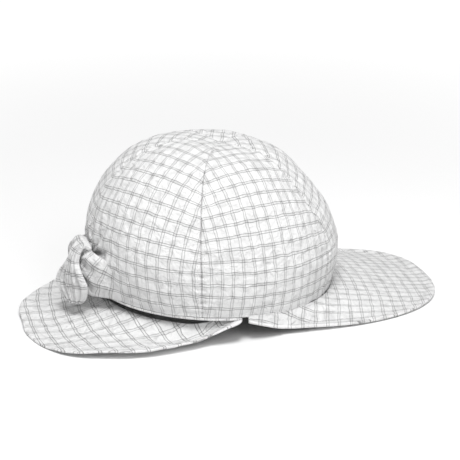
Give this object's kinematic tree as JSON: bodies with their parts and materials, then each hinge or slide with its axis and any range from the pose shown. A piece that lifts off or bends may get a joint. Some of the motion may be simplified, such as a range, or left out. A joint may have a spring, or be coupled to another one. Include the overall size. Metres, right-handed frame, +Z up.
{
  "type": "sun cap with neck flap",
  "caption": "Soft check-cotton sun cap with a domed panelled crown, a wide stiffened front brim, a neck flap and a tie knotted at the back.",
  "frame": {"origin": "on the floor under the middle of the whole cap, as it lies on its brim and flap", "axes": "+X to the front of the brim, +Y to the wearer's left, +Z up"},
  "size_m": [0.356, 0.2018, 0.1438],
  "materials": {
    "check_cotton": "light cotton with a fine grey windowpane check, lightly crinkled",
    "white_lining": "plain white cotton",
    "stiffener_felt": "bonded interlining"
  },
  "bodies": {
    "cap": {"crown_panel_front": "check_cotton", "crown_panel_side_left": "check_cotton", "crown_panel_side_right": "check_cotton", "crown_panel_back_left": "check_cotton", "crown_panel_back_right": "check_cotton", "seam_tape_front_left": "white_lining", "seam_tape_front_right": "white_lining", "seam_tape_rear_left": "white_lining", "seam_tape_rear_right": "white_lining", "seam_tape_center_back": "white_lining", "sweatband": "white_lining", "rear_tie_casing": "white_lining", "care_label": "white_lining", "crown_edge_binding": "check_cotton", "brim_top_cover_root": "check_cotton", "brim_stiffener_root": "stiffener_felt", "brim_under_cover_root": "check_cotton", "neck_flap_top_layer_root": "check_cotton", "neck_flap_under_layer_root": "check_cotton", "tie_strap_left": "check_cotton", "tie_strap_right": "check_cotton", "tie_knot": "check_cotton"},
    "brim_front": {"brim_top_cover_front": "check_cotton", "brim_stiffener_front": "stiffener_felt", "brim_under_cover_front": "check_cotton"},
    "flap_rear": {"neck_flap_top_layer_rear": "check_cotton", "neck_flap_under_layer_rear": "check_cotton"},
    "tail_left": {"tie_tail_left": "check_cotton"},
    "tail_right": {"tie_tail_right": "check_cotton"}
  },
  "joints": [
    {"name": "brim_flip", "type": "hinge", "parent": "cap", "child": "brim_front", "pos_m": [0.091, 0, 0.0168], "axis": [0, -1, 0], "range_deg": [0, 75], "stiffness_Nm_per_rad": 0.02},
    {"name": "flap_fold", "type": "hinge", "parent": "cap", "child": "flap_rear", "pos_m": [-0.134, 0, 0], "axis": [0, -1, 0], "range_deg": [0, 70]},
    {"name": "tail_left_swing", "type": "hinge", "parent": "cap", "child": "tail_left", "pos_m": [-0.12796, -0.0105, 0.07525], "axis": [0, 1, 0], "range_deg": [0, 60]},
    {"name": "tail_right_swing", "type": "hinge", "parent": "cap", "child": "tail_right", "pos_m": [-0.12796, -0.0195, 0.07525], "axis": [0, 1, 0], "range_deg": [0, 60]}
  ]
}
